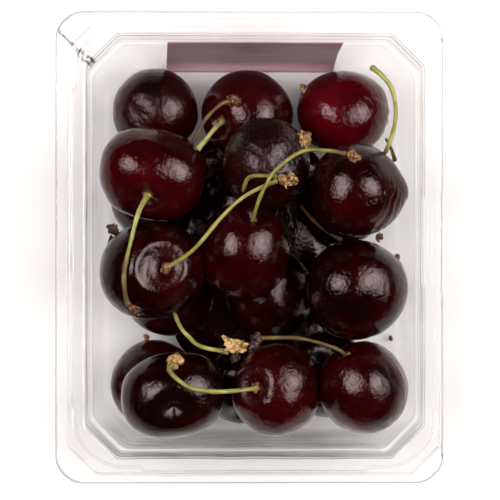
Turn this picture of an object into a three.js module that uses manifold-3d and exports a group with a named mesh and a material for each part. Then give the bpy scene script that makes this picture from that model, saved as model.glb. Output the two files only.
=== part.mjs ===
// An open clear plastic punnet of dark sweet cherries, standing on its base.
// Millimetres, +Z up, origin at the centre of the outline on the underside.
// +X runs across the punnet and +Y along it, away from the viewer.

import * as THREE from 'three';
import { mergeVertices } from 'three/addons/utils/BufferGeometryUtils.js';
import Module from 'manifold-3d';

const wasm = await Module();
wasm.setup();

const rimHeight = 63;            // top of the flat flange above the table
const wallThickness = 0.8;       // the formed sheet, drawn a little thick
const bowlShift = [1.5, 0.4];    // the bowl sits off the centre of its outer lip

const floorHalf = [46.9, 58.3];  // half widths where the walls meet the floor
const floorRadius = 4;           // fillet between floor and wall
const ledgeHalf = [48.9, 61.2];  // half widths just under the ledge
const ledgeHeight = 47;          // the shallow ledge runs round the wall here
const ledgeStep = 1;             // how far the wall steps out above the ledge
const ledgeRise = 1.4;           // height over which it steps out
const openingHalf = [50.2, 62.9];
const rimRadius = 1.2;           // the bend from wall to flange

const flangeHalf = [54.3, 66.6]; // flat flange, ends in a rounded step
const flangeDrop = 0.9;          // height of that step
const flangeStepWidth = 0.5;
const borderHalf = [55.8, 68.4]; // lower border, ends in a step with cut corners
const borderDrop = 0.8;
const borderStepWidth = 0.3;
const lipHalf = [58, 70.6];      // trimmed outer edge
const lipDroop = 0.4;            // the lip leans down a little to its edge

const bowlCorner = { leg: 9.3, radius: 2.2 };
const floorCorner = { leg: 9.6, radius: 5 };
const borderCorner = { leg: 8.8, radius: 2.5 };
const flangeCorner = roundCorner(14.4);
const lipCorner = roundCorner(8);

// Along the right side lies a shallow finger recess: each edge moves in by its own depth.
const fingerRecess = { opening: 0.6, flange: 1.5, border: 0.5, lip: 0.3 };
const nearSwell = 1.4;           // the near flange is wider along its middle
const leftSwell = 1;             // so is the left one
const noSwell = [0, 0, 0, 0];    // right, far, left, near

const label = { width: 54, height: 40, thickness: 0.4, centreX: 1.5, foot: 5.8, turnDegrees: 1.5 };
const contactGap = 0.3;          // air left between pieces that touch

const filletSteps = 3;           // facets in each fillet, of an outline or of a profile

// Stops along the four straight sides, as fractions of each side's half length,
// in the order right, far, left, near. A swell or recess lies between its two inner stops.
const sideStops = [
  { stops: [-0.62, -0.245, -0.21, 0.245, 0.28, 0.62], inner: 0.26, middle: 0.02 },
  { stops: [-0.5, 0, 0.5], inner: 0, middle: 0 },
  { stops: [-0.93, -0.89, -0.3, 0.3, 0.89, 0.93], inner: 0.9, middle: 0 },
  { stops: [-0.88, -0.82, -0.3, 0.3, 0.82, 0.88], inner: 0.83, middle: 0 },
];

// Each cherry: place of its centre in plan, half widths across, half length along
// the stem axis, and how far that axis leans (lean) and towards which side (heading).
// "across" is level and square to the heading, "deep" is square to both.
const bottomLayer = [
  { x: -29.3, y: 43.5, across: 13.6, deep: 13.6, long: 12.6, lean: 25, heading: 200 },
  { x: -0.2, y: 41.9, across: 14.6, deep: 14.8, long: 14.2, lean: 52, heading: 193 },
  { x: 30.3, y: 42.9, across: 14.6, deep: 13.9, long: 13, lean: 30, heading: 90 },
  { x: -30.8, y: 15.2, across: 12.8, deep: 12.6, long: 12, lean: 40, heading: 150 },
  { x: 29.7, y: 14.2, across: 13.5, deep: 13.5, long: 12.8, lean: 35, heading: 20 },
  { x: -24.8, y: -13.9, across: 14.3, deep: 14.3, long: 13.4, lean: 20, heading: 280 },
  { x: 7, y: -14.5, across: 14.2, deep: 14.7, long: 13.8, lean: 120, heading: 343 },
  { x: 34.6, y: -13.4, across: 12.6, deep: 12.4, long: 11.8, lean: 70, heading: 60 },
  { x: -29.5, y: -42.8, across: 13.9, deep: 14.4, long: 13.2, lean: 45, heading: 180 },
  { x: -1.6, y: -43.1, across: 12.9, deep: 12.9, long: 12.4, lean: 60, heading: 270 },
  { x: 25.2, y: -40, across: 13.8, deep: 13.8, long: 13, lean: 30, heading: 120 },
];
const topLayer = [
  { x: -29.6, y: 22.6, across: 16.2, deep: 14.4, long: 13.5, lean: 31, heading: 259 },
  { x: 5.6, y: 25.9, across: 14.3, deep: 13.5, long: 13.3, lean: 38, heading: 10 },
  { x: 33.7, y: 17.7, across: 14.7, deep: 15.4, long: 14, lean: 55, heading: 35 },
  { x: -29.5, y: -6.8, across: 15.3, deep: 16.4, long: 14, lean: 18, heading: 12 },
  { x: -1.3, y: -1, across: 14, deep: 14.6, long: 15.6, lean: 58, heading: 76 },
  { x: 33.1, y: -13, across: 15.6, deep: 15.9, long: 14.6, lean: 25, heading: 300 },
  { x: -23.2, y: -45.2, across: 15.9, deep: 13.2, long: 12.8, lean: 65, heading: 262 },
  { x: 8.5, y: -43.6, across: 14.6, deep: 13.8, long: 13.8, lean: 36, heading: 172 },
  { x: 35.3, y: -43, across: 13.9, deep: 14.6, long: 14.6, lean: 78, heading: 114 },
];
const nestling = 0.955;          // centres come this close, as a share of the two radii
const cavityDepth = 0.3;         // stem cavity, as shares of the cherry's half length
const cavityWidth = 0.42;
const tipDimple = 0.05;
const cherrySides = 12;
const cherryBands = 9;
const facetSwell = 1.02;         // puts the flat faces of the few-sided fruit at its true size

const stemRadius = 0.7;
const stemSides = 6;
const stemSteps = 3;             // bends between two points of a route

// Routes of the stems that show, from the fruit outwards. A route with a fruit starts
// at the bottom of that cherry's stem cavity, the others start out of sight under one.
const stems = [
  { fruit: 11, points: [[-33.4, 10.6, 52.6], [-35.2, 4, 53.4], [-37.6, -7.4, 55.2], [-37.2, -15.4, 52.6]] },
  { fruit: 1, points: [[-10.6, 37, 28], [-13.4, 33.4, 31], [-17, 29, 33]] },
  { fruit: null, points: [[-18.4, 30.6, 33], [-13.2, 39.8, 33.6], [-8.4, 44.6, 31.8], [-5.4, 45.7, 30.4]] },
  { fruit: 14, points: [[-17, -0.8, 53.6], [-8.2, 9.3, 52.6], [-0.9, 15.8, 51.6], [8.6, 20.4, 50.4]] },
  { fruit: null, points: [[-1.8, 14.2, 38], [-1.4, 18.6, 46], [0.8, 21.6, 50.2], [8.6, 21.6, 50.6]] },
  {
    fruit: 15,
    points: [[3, 14.4, 51], [5.2, 19, 53], [7.9, 23.4, 53], [15.8, 29, 51.2], [23.3, 29.4, 51], [29.5, 28.4, 51.4]],
  },
  { fruit: 13, points: [[42.2, 29.6, 46.4], [44.4, 38, 45.6], [44.4, 44, 47], [42, 50.2, 49], [37, 54.8, 50.4]] },
  { fruit: null, points: [[16.4, 13.4, 24], [21.5, 7.8, 22.8], [29.5, 2.4, 21.6]] },
  { fruit: 5, points: [[-21.4, -24, 29.6], [-18.4, -27.6, 33], [-14.6, -30.5, 35], [-6, -32.2, 36]] },
  {
    fruit: 18,
    points: [[-8, -43.6, 51.6], [-16.6, -42.6, 54.4], [-21.6, -39.8, 54.2], [-24.2, -36.8, 52.4], [-22.8, -35, 51]],
  },
  { fruit: 19, points: [[27.3, -31.2, 42], [21, -29, 40.4], [14, -27.7, 38.8], [3, -27.8, 37.2]] },
];

// Dried spurs and flower ends left on the stems: place and half sizes.
const spurs = [
  { place: [-36.6, -18.2, 50.4], half: [2, 2.2, 1.8] },
  { place: [-4.6, 45.8, 30.2], half: [2.4, 2.2, 2.4] },
  { place: [11.8, 20.4, 50.2], half: [3.8, 2.4, 2] },
  { place: [31.6, 27.6, 51.8], half: [2.6, 2.4, 1.8] },
  { place: [17, 32.8, 41.5], half: [2, 3.8, 2.6] },
  { place: [-4.6, -31.2, 36], half: [3.8, 3.4, 2.4] },
  { place: [-22.6, -34.6, 50.6], half: [3, 2.8, 2] },
  { place: [2.6, -27.8, 37], half: [2.4, 2.4, 2.2] },
  { place: [-41.6, 3.9, 38], half: [2.4, 3.2, 2.4] },
];

// Hidden filling between the layers: how far it stays inside the walls, and its heights.
const coreInset = 11;
const coreTaper = 4;
const coreSpan = [8, 21];

const clearPlastic = new THREE.MeshStandardMaterial({
  color: 0xe9e8ea, roughness: 0.08, metalness: 0, transparent: true, opacity: 0.35,
});
const labelFilm = new THREE.MeshStandardMaterial({ color: 0x87727a, roughness: 0.6, metalness: 0 });
const cherrySkin = new THREE.MeshStandardMaterial({ color: 0x3a0009, roughness: 0.18, metalness: 0 });

// A corner is cut off at leg, and both ends of the cut have a fillet of radius.
// In a rounded corner the two fillets all but meet.
function roundCorner(radius) {
  const legShare = 0.62;
  return { leg: legShare * radius, radius };
}

// The corner of an outline that is moved outwards by the same amount all round.
function growCorner(corner, amount) {
  return { leg: corner.leg + (2 - Math.SQRT2) * amount, radius: corner.radius + amount };
}

function blendCorner(from, to, share) {
  return {
    leg: THREE.MathUtils.lerp(from.leg, to.leg, share),
    radius: THREE.MathUtils.lerp(from.radius, to.radius, share),
  };
}

// The outline of one level, counterclockwise: four straight sides with their stops,
// each followed by a cut corner with a fillet at both ends.
function outline(level) {
  const points = [];
  const tangent = level.corner.radius * Math.tan(Math.PI / 8);
  for (let side = 0; side < 4; side += 1) {
    const alongX = side % 2 === 1;
    const reach = alongX ? level.half[1] : level.half[0];
    const width = alongX ? level.half[0] : level.half[1];
    const straight = width - level.corner.leg - tangent;
    const { stops, inner, middle } = sideStops[side];
    const local = [];
    for (const stop of stops) {
      const swell = Math.abs(stop - middle) < inner ? level.swell[side] : 0;
      local.push([reach + swell, stop * straight]);
    }
    for (let fillet = 0; fillet < 2; fillet += 1) {
      const centreOut = fillet === 0 ? reach - level.corner.radius : reach - level.corner.leg - tangent;
      const centreAlong = fillet === 0 ? straight : width - level.corner.radius;
      for (let step = 0; step <= filletSteps; step += 1) {
        const angle = (Math.PI / 4) * (fillet + step / filletSteps);
        local.push([
          centreOut + level.corner.radius * Math.cos(angle),
          centreAlong + level.corner.radius * Math.sin(angle),
        ]);
      }
    }
    const turn = side * Math.PI / 2;
    for (const [out, along] of local) {
      points.push(new THREE.Vector3(
        level.shift[0] + out * Math.cos(turn) - along * Math.sin(turn),
        level.shift[1] + out * Math.sin(turn) + along * Math.cos(turn),
        level.z,
      ));
    }
  }
  return points;
}

// A closed body through a run of outlines that all have the same number of points,
// shut with a fan of triangles at its first and last outline.
function loftOutlines(outlines) {
  const count = outlines[0].length;
  const positions = [];
  const indices = [];
  for (const points of outlines) {
    for (const point of points) {
      positions.push(point.x, point.y, point.z);
    }
  }
  for (let ring = 0; ring + 1 < outlines.length; ring += 1) {
    for (let i = 0; i < count; i += 1) {
      const next = (i + 1) % count;
      const a = ring * count + i;
      const b = (ring + 1) * count + i;
      const c = (ring + 1) * count + next;
      const d = ring * count + next;
      indices.push(a, b, c, a, c, d);
    }
  }
  const lastRing = outlines.length - 1;
  for (const ring of [0, lastRing]) {
    const centre = new THREE.Vector3();
    for (const point of outlines[ring]) {
      centre.addScaledVector(point, 1 / count);
    }
    const hub = positions.length / 3;
    positions.push(centre.x, centre.y, centre.z);
    for (let i = 0; i < count; i += 1) {
      const here = ring * count + i;
      const next = ring * count + (i + 1) % count;
      indices.push(hub, ring === 0 ? here : next, ring === 0 ? next : here);
    }
  }
  const geometry = new THREE.BufferGeometry();
  geometry.setAttribute('position', new THREE.Float32BufferAttribute(positions, 3));
  geometry.setIndex(indices);
  geometry.computeVertexNormals();
  return geometry;
}

// The upper skin of the tray from the middle of the floor to the edge of the lip.
function trayLevels() {
  const levels = [];
  const plain = { shift: bowlShift, swell: noSwell, onFlange: false };
  const addLevel = (halfX, halfY, z, corner, options = {}) => {
    levels.push({ half: [halfX, halfY], z, corner, ...plain, ...options });
  };

  for (let step = 0; step <= filletSteps; step += 1) {
    const angle = (Math.PI / 2) * (step / filletSteps);
    const inset = floorRadius * (1 - Math.sin(angle));
    const rise = floorRadius * (1 - Math.cos(angle));
    addLevel(floorHalf[0] - inset, floorHalf[1] - inset, wallThickness + rise, floorCorner);
  }

  const ledgeProfile = [[0, 0], [0.3, 0.55], [1, 1], [1.1, 1.9]];
  for (const [outShare, riseShare] of ledgeProfile) {
    const out = outShare * ledgeStep;
    const z = ledgeHeight + riseShare * ledgeRise;
    addLevel(ledgeHalf[0] + out, ledgeHalf[1] + out, z, blendCorner(floorCorner, bowlCorner, riseShare));
  }

  for (let step = 0; step <= filletSteps; step += 1) {
    const angle = (Math.PI / 2) * (step / filletSteps);
    const out = rimRadius * (1 - Math.cos(angle));
    addLevel(
      openingHalf[0] + out,
      openingHalf[1] + out,
      rimHeight - rimRadius * (1 - Math.sin(angle)),
      growCorner(bowlCorner, out),
      { swell: [-fingerRecess.opening, 0, 0, 0], onFlange: step === filletSteps },
    );
  }

  const borderHeight = rimHeight - flangeDrop;
  const lipHeight = borderHeight - borderDrop;
  const flange = { swell: [-fingerRecess.flange, 0, leftSwell, nearSwell], onFlange: true };
  const flangeTop = flangeHalf.map((half) => half - flangeStepWidth);
  addLevel(...flangeTop, rimHeight, flangeCorner, flange);
  addLevel(...flangeHalf, borderHeight, flangeCorner, flange);
  const border = { swell: [-fingerRecess.border, 0, 0, 0], onFlange: true };
  const borderFoot = borderHalf.map((half) => half + borderStepWidth);
  addLevel(...borderHalf, borderHeight, borderCorner, border);
  addLevel(...borderFoot, lipHeight, borderCorner, border);
  const lip = { swell: [-fingerRecess.lip, 0, 0, 0], onFlange: true, shift: [0, 0] };
  addLevel(...lipHalf, lipHeight - lipDroop, lipCorner, lip);
  return levels;
}

// The lower skin: each level moved by the sheet's thickness, straight down on the
// flange and square to the profile on the bowl.
function lowerSkin(levels) {
  return levels.map((level, i) => {
    const before = levels[Math.max(i - 1, 0)];
    const after = levels[Math.min(i + 1, levels.length - 1)];
    const run = (after.half[0] + after.half[1] - before.half[0] - before.half[1]) / 2;
    const rise = after.z - before.z;
    const length = Math.hypot(run, rise);
    const straightDown = level.onFlange || i === 0;
    const out = straightDown ? 0 : wallThickness * rise / length;
    const down = straightDown ? wallThickness : wallThickness * run / length;
    return {
      ...level,
      half: [level.half[0] + out, level.half[1] + out],
      z: Math.max(level.z - down, 0),
      corner: growCorner(level.corner, out),
    };
  });
}

function makePunnet() {
  const upper = trayLevels();
  const lower = lowerSkin(upper).reverse();
  return new THREE.Mesh(loftOutlines([...upper, ...lower].map(outline)), clearPlastic);
}

// A plain rectangle of label stuck flat on the outside of the far wall, leaning with it.
function makeLabel() {
  const wallFoot = wallThickness + floorRadius;
  const slope = (ledgeHalf[1] - floorHalf[1]) / (ledgeHeight - wallFoot);
  const lean = Math.atan(slope);
  const middle = label.foot + label.height / 2;
  const innerFace = bowlShift[1] + floorHalf[1] + slope * (middle - wallFoot);
  const outwards = (wallThickness + contactGap + label.thickness / 2) / Math.cos(lean);
  const mesh = new THREE.Mesh(
    new THREE.BoxGeometry(label.width, label.thickness, label.height),
    labelFilm,
  );
  mesh.rotation.set(-lean, THREE.MathUtils.degToRad(label.turnDegrees), 0, 'XYZ');
  mesh.position.set(label.centreX, innerFace + outwards, middle);
  return mesh;
}

function meanRadius(cherry) {
  return (cherry.across + cherry.deep + cherry.long) / 3;
}

// Stands the bottom layer on the floor and lets each cherry of the top layer down
// until it meets one that lies under it.
function settleCherries() {
  const settled = [];
  for (const cherry of bottomLayer) {
    const lean = THREE.MathUtils.degToRad(cherry.lean);
    const halfHeight = Math.hypot(cherry.long * Math.cos(lean), cherry.deep * Math.sin(lean));
    settled.push({ ...cherry, z: wallThickness + contactGap + facetSwell * halfHeight });
  }
  for (const cherry of topLayer) {
    let z = 0;
    for (const below of settled.slice(0, bottomLayer.length)) {
      const apart = nestling * (meanRadius(cherry) + meanRadius(below));
      const sideways = Math.hypot(cherry.x - below.x, cherry.y - below.y);
      if (sideways < apart) {
        z = Math.max(z, below.z + Math.sqrt(apart ** 2 - sideways ** 2));
      }
    }
    settled.push({ ...cherry, z });
  }
  return settled;
}

function stemAxisOf(cherry) {
  const lean = THREE.MathUtils.degToRad(cherry.lean);
  const heading = THREE.MathUtils.degToRad(cherry.heading);
  return new THREE.Vector3(
    Math.sin(lean) * Math.cos(heading),
    Math.sin(lean) * Math.sin(heading),
    Math.cos(lean),
  );
}

// The half section runs from the tip to the bottom of the stem cavity: a circle with
// a round hollow pressed into its top and a shallow dimple in its tip.
function makeCherry(cherry) {
  const profile = [];
  for (let band = 0; band <= cherryBands; band += 1) {
    const angle = Math.PI * (1 - band / cherryBands);
    const radius = Math.sin(angle);
    const pressed = Math.exp(-((radius / cavityWidth) ** 2));
    const inset = angle < Math.PI / 2 ? -cavityDepth * pressed : tipDimple * pressed;
    const onAxis = band === 0 || band === cherryBands;
    profile.push(new THREE.Vector2(onAxis ? 0 : radius, Math.cos(angle) + inset));
  }
  const stemAxis = stemAxisOf(cherry);
  const heading = THREE.MathUtils.degToRad(cherry.heading);
  const levelAxis = new THREE.Vector3(-Math.sin(heading), Math.cos(heading), 0);
  const deepAxis = new THREE.Vector3().crossVectors(levelAxis, stemAxis);
  const frame = new THREE.Matrix4().makeBasis(
    levelAxis.multiplyScalar(facetSwell * cherry.across),
    stemAxis.multiplyScalar(facetSwell * cherry.long),
    deepAxis.multiplyScalar(facetSwell * cherry.deep),
  );
  frame.setPosition(cherry.x, cherry.y, cherry.z);
  return new THREE.LatheGeometry(profile, cherrySides).applyMatrix4(frame);
}

function makeStem(stem, cherries) {
  const points = stem.points.map(([x, y, z]) => new THREE.Vector3(x, y, z));
  if (stem.fruit !== null) {
    const cherry = cherries[stem.fruit];
    const root = new THREE.Vector3(cherry.x, cherry.y, cherry.z);
    points.unshift(root.addScaledVector(stemAxisOf(cherry), cherry.long * (1 - cavityDepth) - stemRadius));
  }
  const section = new THREE.Shape();
  for (let i = 0; i < stemSides; i += 1) {
    const angle = 2 * Math.PI * i / stemSides;
    const corner = [stemRadius * Math.cos(angle), stemRadius * Math.sin(angle)];
    if (i === 0) {
      section.moveTo(...corner);
    } else {
      section.lineTo(...corner);
    }
  }
  const route = new THREE.CatmullRomCurve3(points);
  return new THREE.ExtrudeGeometry(section, { steps: stemSteps * (points.length - 1), extrudePath: route });
}

function makeSpur(spur) {
  const geometry = new THREE.IcosahedronGeometry(1, 1);
  geometry.scale(...spur.half);
  geometry.translate(...spur.place);
  return geometry;
}

function toSolid(geometry) {
  const weldDistance = 1e-4;
  const bare = geometry.clone();
  bare.deleteAttribute('normal');
  bare.deleteAttribute('uv');
  const welded = mergeVertices(bare, weldDistance);
  return new wasm.Manifold(new wasm.Mesh({
    numProp: 3,
    vertProperties: new Float32Array(welded.attributes.position.array),
    triVerts: new Uint32Array(welded.index.array),
  }));
}

function toGeometry(solid) {
  const mesh = solid.getMesh();
  const geometry = new THREE.BufferGeometry();
  geometry.setAttribute('position', new THREE.Float32BufferAttribute(mesh.vertProperties, 3));
  geometry.setIndex([...mesh.triVerts]);
  geometry.computeVertexNormals();
  return geometry;
}

// A low block that follows the bowl's outline well inside the outer cherries, from
// the top down, narrower by its taper at both ends.
function makeCore() {
  const profile = [[coreTaper, 0], [0, 0.25], [0, 0.75], [coreTaper, 1]];
  const levels = profile.map(([taper, share]) => ({
    half: floorHalf.map((half) => half - coreInset - taper),
    z: THREE.MathUtils.lerp(coreSpan[1], coreSpan[0], share),
    corner: floorCorner,
    shift: bowlShift,
    swell: noSwell,
  }));
  return loftOutlines(levels.map(outline));
}

// Cherries, stems and spurs joined into one body round the hidden core.
function makeHeap() {
  const cherries = settleCherries();
  const pieces = [
    ...cherries.map(makeCherry),
    ...stems.map((stem) => makeStem(stem, cherries)),
    ...spurs.map(makeSpur),
  ];
  const heap = pieces.reduce((solid, piece) => solid.add(toSolid(piece)), toSolid(makeCore()));
  return new THREE.Mesh(toGeometry(heap), cherrySkin);
}

const cherryPunnet = new THREE.Group();
for (const [name, mesh] of [
  ['punnet', makePunnet()],
  ['label', makeLabel()],
  ['cherries', makeHeap()],
]) {
  mesh.name = name;
  cherryPunnet.add(mesh);
}

export default cherryPunnet;
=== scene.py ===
import math

import bpy
import numpy as np
from mathutils import Matrix, Vector


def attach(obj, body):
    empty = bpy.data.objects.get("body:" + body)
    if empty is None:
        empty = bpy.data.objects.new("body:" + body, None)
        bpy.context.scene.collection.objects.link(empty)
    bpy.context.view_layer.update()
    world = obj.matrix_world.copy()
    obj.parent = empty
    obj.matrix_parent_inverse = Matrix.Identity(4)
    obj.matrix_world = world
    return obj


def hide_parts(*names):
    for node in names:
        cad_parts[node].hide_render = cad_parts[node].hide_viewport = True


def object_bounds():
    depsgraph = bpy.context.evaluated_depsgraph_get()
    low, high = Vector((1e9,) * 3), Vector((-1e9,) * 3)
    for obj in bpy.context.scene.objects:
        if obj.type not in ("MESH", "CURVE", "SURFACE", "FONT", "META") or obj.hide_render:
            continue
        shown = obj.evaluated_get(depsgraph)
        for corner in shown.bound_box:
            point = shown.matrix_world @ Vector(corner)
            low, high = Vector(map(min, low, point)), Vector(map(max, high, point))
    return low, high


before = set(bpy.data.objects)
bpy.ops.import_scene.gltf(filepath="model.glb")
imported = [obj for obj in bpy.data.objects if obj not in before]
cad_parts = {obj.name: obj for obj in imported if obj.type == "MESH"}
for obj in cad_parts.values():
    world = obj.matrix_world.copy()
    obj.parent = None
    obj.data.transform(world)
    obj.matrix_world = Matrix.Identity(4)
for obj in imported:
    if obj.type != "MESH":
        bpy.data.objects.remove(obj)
cadLow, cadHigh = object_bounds()
mm = 0.001  # every size below is in millimetres, meshes are made in metres
scene = bpy.context.scene
print("frame loaded")


# Point numbers of a skin of rows that close on themselves, with a fan of triangles at its
# first and last row. The two middle points of the fans come after the rows.
def skinFaces(rows, columns):
    here = np.arange(rows * columns).reshape(rows, columns)
    beside = np.roll(here, -1, axis=1)
    quads = np.stack([here[:-1], here[1:], beside[1:], beside[:-1]], axis=-1).reshape(-1, 4)
    first = np.full(columns, rows * columns)
    fans = np.concatenate([
        np.stack([first, here[0], beside[0]], axis=-1),
        np.stack([first + 1, beside[-1], here[-1]], axis=-1),
    ])
    return quads, fans


# A closed skin from a (rows, columns, 3) array: its points, then the middles of both ends.
def closeSkin(grid, marks=None):
    rows, columns = grid.shape[:2]
    middles = grid[[0, -1]].mean(axis=1)
    quads, fans = skinFaces(rows, columns)
    closedMarks = {}
    for name, values in (marks or {}).items():
        values = np.broadcast_to(values, (rows, columns))
        closedMarks[name] = np.concatenate([values.ravel(), values[[0, -1]].mean(axis=1)])
    points = np.concatenate([grid.reshape(-1, 3), middles])
    return {"points": points, "quads": quads, "fans": fans, "marks": closedMarks}


def addObject(name, data):
    piece = bpy.data.objects.new(name, data)
    scene.collection.objects.link(piece)
    return piece


# One object out of many closed skins, in metres, with a float attribute for each mark.
def joinSkins(name, skins):
    starts = np.cumsum([0] + [len(skin["points"]) for skin in skins])
    points = np.concatenate([skin["points"] for skin in skins]) * mm
    faces = []
    for kind in ("quads", "fans"):
        for skin, start in zip(skins, starts):
            faces += (skin[kind] + start).tolist()
    mesh = bpy.data.meshes.new(name)
    mesh.from_pydata(points.tolist(), [], faces)
    for mark in skins[0]["marks"]:
        values = np.concatenate([skin["marks"][mark] for skin in skins]).astype(np.float32)
        mesh.attributes.new(mark, "FLOAT", "POINT").data.foreach_set("value", values)
    mesh.polygons.foreach_set("use_smooth", np.ones(len(mesh.polygons), bool))
    mesh.update()
    print(name, "has", sum(len(face) - 2 for face in faces), "triangles")
    return addObject(name, mesh)


# Each vector made one long.
def unit(vectors):
    return vectors / np.linalg.norm(vectors, axis=-1, keepdims=True)


# A bell curve of values, one at 0 and down to a third at the width.
def bell(values, width):
    return np.exp(-((values / width) ** 2))


# Smooth uneven values at points of any shape (..., 3): a sum of sine waves with directions,
# lengths and phases drawn from the seed, about 0 on average and seldom past 2.
def uneven(points, waveLength, seed, waves=14):
    draw = np.random.default_rng(seed)
    directions = unit(draw.normal(size=(waves, 3)))
    lengths = waveLength * draw.uniform(0.65, 1.5, waves)
    phases = draw.uniform(0, 2 * np.pi, waves)
    angles = points @ (directions / lengths[:, None]).T * 2 * np.pi + phases
    return np.sin(angles).sum(axis=-1) / math.sqrt(waves / 2)


# An S curve from 0 at low to 1 at high, which may be the smaller one.
def smoothStep(low, high, values):
    share = np.clip((values - low) / (high - low), 0, 1)
    return share * share * (3 - 2 * share)


# Normals of a (rows, columns, 3) grid whose rows close on themselves: the cross product of
# the step to the next row and the step to the next column.
def gridNormals(grid):
    down = np.gradient(grid, axis=0)
    along = np.roll(grid, -1, axis=1) - np.roll(grid, 1, axis=1)
    normals = np.cross(down, along)
    return normals / np.maximum(np.linalg.norm(normals, axis=-1), 1e-9)[..., None]


# One full turn in even steps, as a row.
def fullTurn(count):
    return np.linspace(0, 2 * math.pi, count, endpoint=False)[None]


# A unit ball about its second axis: polar is the angle from that axis and turn the one round it.
def unitBall(polar, turn):
    return np.stack([np.sin(polar) * np.sin(turn), np.cos(polar) * np.ones_like(turn),
                     np.sin(polar) * np.cos(turn)], axis=-1)


# The rows of an upper face, then those of the lower face backwards.
def thereAndBack(upper, lower=None):
    return np.concatenate([upper, (upper if lower is None else lower)[::-1]])


tray = {
    "rimHeight": 63,
    "wall": 0.8,
    "bowlShift": (1.5, 0.4),
    "floorHalf": (46.9, 58.3),
    "floorRadius": 4,
    "floorCorner": (9.6, 5),
    "ledgeHalf": (48.9, 61.2),
    "ledgeHeight": 47,
    "ledgeStep": 1,
    "ledgeRise": 1.4,
    "rimRadius": 1.2,
    # half widths, how much the corner is cut off and its fillet radius, and how far the right,
    # far, left and near side swell out, where the finger recess on the right is a swell inwards
    "opening": ((50.2, 62.9), (9.3, 2.2), (-0.6, 0, 0, 0)),
    "flange": ((53.8, 66.1), (8.93, 14.4), (-1.5, 0, 1, 1.4)),
    "border": ((55.8, 68.4), (8.8, 2.5), (-0.5, 0, 0, 0)),
    "lip": ((58, 70.6), (4.96, 8), (-0.3, 0, 0, 0)),
    "flangeStep": (0.9, 0.5),  # how far down and out its edge steps
    "borderStep": (0.8, 0.35),
    "lipDroop": 0.4,
    # where the swells start and end, as shares of each side's half length
    "swellSpans": ((-0.245, -0.21, 0.245, 0.28), None, (-0.93, -0.89, 0.89, 0.93),
                   (-0.88, -0.82, 0.82, 0.88)),
    "sideSteps": (96, 78, 96, 78),
    "cutSteps": (10, 34, 10, 10),
    "waviness": 0.07,
    "waveLengths": (26, 8),
    "drawLines": 0.035,  # height of the drawn lines that run round the walls
    "lineSpacing": 4.5,
    "bendWidth": 0.2,
    "bendStrengths": (0.35, 0.45, 1, 0.6, 0.55, 0.5),  # painted dark lines at the bends, standing for their reflections, from the foot of the ledge to the lip
    "nearWall": (-50, -58),  # y over which the near wall's painted reflection sets in
    "nearEnds": (52, 20, 0.4),  # it weakens between these x towards its ends, by this share
    "leftWall": (-44, -50),  # x over which the left wall's does
    "patches": (0.25, 5),
    "nearPaintedReflection": 1.05,  # how strongly the painted reflection of the dark fruit darkens the near, the left and the other walls edge on
    "leftPaintedReflection": 0.28,
    "wallPaintedReflection": 0.09,
    "nearPaintedShade": 0.12,  # and how much painted shade darkens the flange over the near and left walls
    "leftPaintedShade": 0.1,
    "flatFrom": (61, 62),  # height over which the painted reflection gives way to the painted shade
}


# The tray's upper profile from the floor outwards, as arrays with one row per level: half
# widths, height, corner, shift and swell. Flat and straight stretches are linear, fillets
# are quarter circles and steps are S curves.
def trayProfile():
    levels, bendRows = [], []

    def level(half, z, corner, swell=(0, 0, 0, 0), shift=tray["bowlShift"]):
        return [*half, z, *corner, *shift, *swell]

    def runTo(last, count):
        first = levels[-1]
        for share in np.linspace(0, 1, count + 1)[1:]:
            levels.append([a + (b - a) * share for a, b in zip(first, last)])

    floorHalf, floorCorner = np.array(tray["floorHalf"]), np.array(tray["floorCorner"])
    for share in (0.03, 0.15, 0.3, 0.45, 0.6, 0.75, 0.88):
        half = (floorHalf - tray["floorRadius"]) * share
        levels.append(level(half, tray["wall"], floorCorner * share))
    for angle in np.linspace(0, math.pi / 2, 9):
        inset = tray["floorRadius"] * (1 - math.sin(angle))
        rise = tray["floorRadius"] * (1 - math.cos(angle))
        levels.append(level(floorHalf - inset, tray["wall"] + rise, floorCorner))
    ledge = level(tray["ledgeHalf"], tray["ledgeHeight"], floorCorner)
    runTo(ledge, 22)
    half, corner, swell = tray["opening"]
    aboveLedge = level(np.array(tray["ledgeHalf"]) + tray["ledgeStep"], 0, corner)
    for share in np.linspace(0, 1, 7)[1:]:
        step = [a + (b - a) * smoothStep(0, 1, share) for a, b in zip(ledge, aboveLedge)]
        step[2] = tray["ledgeHeight"] + tray["ledgeRise"] * share
        levels.append(step)
    bendRows += [len(levels) - 6, len(levels) - 1]
    bend = []
    for angle in np.linspace(0, math.pi / 2, 8):
        out = tray["rimRadius"] * (1 - math.cos(angle))
        z = tray["rimHeight"] - tray["rimRadius"] * (1 - math.sin(angle))
        rounded = (corner[0] + (2 - math.sqrt(2)) * out, corner[1] + out)
        bend.append(level(np.array(half) + out, z, rounded, swell))
    runTo(bend[0], 9)
    bendRows.append(len(levels) - 1)
    levels += bend[1:]
    z = tray["rimHeight"]
    for name, count in (("flange", 9), ("border", 4)):
        half, corner, swell = tray[name]
        drop, run = tray[name + "Step"]
        runTo(level(half, z, corner, swell), count)
        bendRows.append(len(levels) + 1)
        for share in np.linspace(0, 1, 6)[1:]:
            down = drop * smoothStep(0, 1, share)
            levels.append(level(np.array(half) + run * share, z - down, corner, swell))
        z -= drop
    half, corner, swell = tray["lip"]
    runTo(level(half, z - tray["lipDroop"], corner, swell, (0, 0)), 6)
    bendRows.append(len(levels) - 1)
    return np.array(levels), bendRows


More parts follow.
